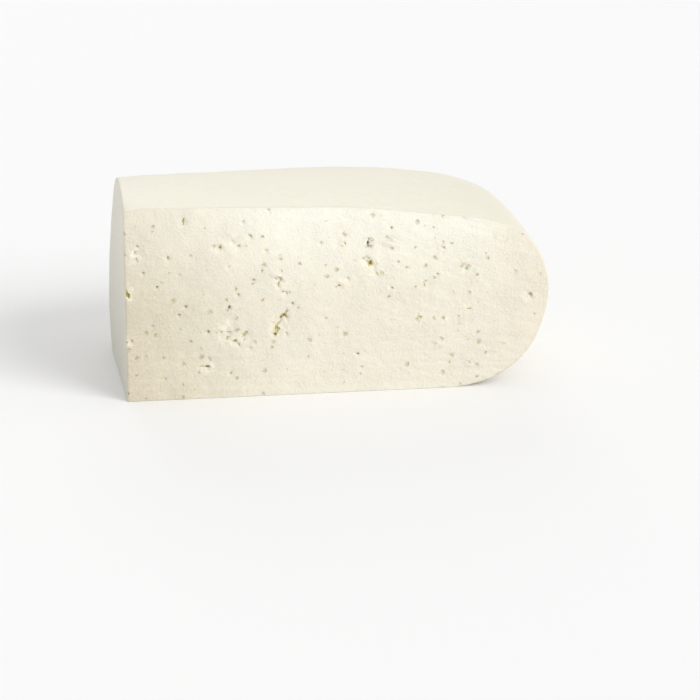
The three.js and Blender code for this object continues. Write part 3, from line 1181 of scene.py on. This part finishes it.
# %% The opening walls
STRAW_DEPTH = 1.5 * MM
wall = finish(
    WALL,
    darker=(211, 198, 167),
    lighter=(219, 207, 179),
    cloud_tint=(215, 203, 173),
    grain_size=1.2 * MM,
    cloud_size=16 * MM,
    roughness=0.5,
    bump=0.1 * MM,
)
depth_inside = stored(wall.tree, "depth inside")
deepness = add_node(wall.tree, "MapRange", Value=depth_inside, From_Max=STRAW_DEPTH)
# The walls near the cut share the painted light and shade ramps of the long cut.
near_the_cut = with_painted_light(wall, (240, 235, 218))
straw = mixed(wall.tree, deepness.outputs["Result"], near_the_cut, (213, 199, 104))
fill(wall.tree, wall.shader["Base Color"], straw)
print("finishes:", [material.name for material in cheese.data.materials])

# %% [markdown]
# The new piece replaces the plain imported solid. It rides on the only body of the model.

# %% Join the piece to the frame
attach(cheese, "root")
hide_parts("cheese")
print("piece:", cheese.name, "at", tuple(cheese.location))

# %% [markdown]
# The stage is a pale floor, wide enough to fill the picture. It lies a hair below the piece, so
# that the two faces don't flicker into each other.

# %% Floor
FLOOR_SIZE = 8
FLOOR_DROP = 0.1 * MM
FLOOR_TINT = (246, 246, 246)
FLOOR_ROUGHNESS = 0.7
bpy.ops.mesh.primitive_plane_add(size=FLOOR_SIZE, location=(0, 0, -FLOOR_DROP))
floor = settle("floor")
pale = bpy.data.materials.new("pale floor")
pale.use_nodes = True
surface = pale.node_tree.nodes["Principled BSDF"].inputs
surface["Base Color"].default_value = srgb(*FLOOR_TINT)
surface["Roughness"].default_value = FLOOR_ROUGHNESS
floor.data.materials.append(pale)
print("floor:", [round(side, 1) for side in floor.dimensions])

# %% [markdown]
# The camera stands a little over a metre away, 8 degrees to the left and 18 above, with a long
# lens, as for a product picture. It looks at a point low on the long cut. The helper turns such
# angles into a direction, which serves for the lamps too.

# %% Camera
CAMERA_DISTANCE = 1.1
CAMERA_SIDE = -8
CAMERA_HEIGHT = 18.2
FOCAL_LENGTH = 141.55
SENSOR_WIDTH = 36
NEAREST = 0.05
AIM = (89.2, 0, 17.6)


def direction(side, height):
    side, height = math.radians(side), math.radians(height)
    level = math.cos(height)
    return Vector((math.sin(side) * level, -math.cos(side) * level, math.sin(height)))


def facing_from(away):
    return away.to_track_quat("Z", "Y").to_euler()


aim = Vector(cut_corner) + Vector(AIM) * MM
away = direction(CAMERA_SIDE, CAMERA_HEIGHT)
bpy.ops.object.camera_add(location=aim + CAMERA_DISTANCE * away, rotation=facing_from(away))
camera = bpy.context.object
camera.data.sensor_width = SENSOR_WIDTH
camera.data.lens = FOCAL_LENGTH
camera.data.clip_start = NEAREST
bpy.context.scene.camera = camera
print("camera at", [round(value, 3) for value in camera.location])

# %% [markdown]
# The light is soft. A broad lamp to the upper right in front is the key, so the short cut at the
# left is in shade. A weak one behind lights the top and the back, and an even white sky fills
# the shadows.

# %% Light
LAMP_ANGLE = math.radians(36)
SKY_STRENGTH = 0.7


def far_lamp(name, side, height, strength):
    towards = direction(side, height)
    bpy.ops.object.light_add(type="SUN", location=towards, rotation=facing_from(towards))
    made = bpy.context.object
    made.name = name
    made.data.angle = LAMP_ANGLE
    made.data.energy = strength


far_lamp("key", side=46, height=34, strength=1.58)
far_lamp("back", side=180, height=28, strength=0.32)
sky = bpy.data.worlds.new("white sky")
sky.use_nodes = True
sky.node_tree.nodes["Background"].inputs["Color"].default_value = (1, 1, 1, 1)
sky.node_tree.nodes["Background"].inputs["Strength"].default_value = SKY_STRENGTH
bpy.context.scene.world = sky
bpy.context.scene.view_settings.view_transform = "Standard"
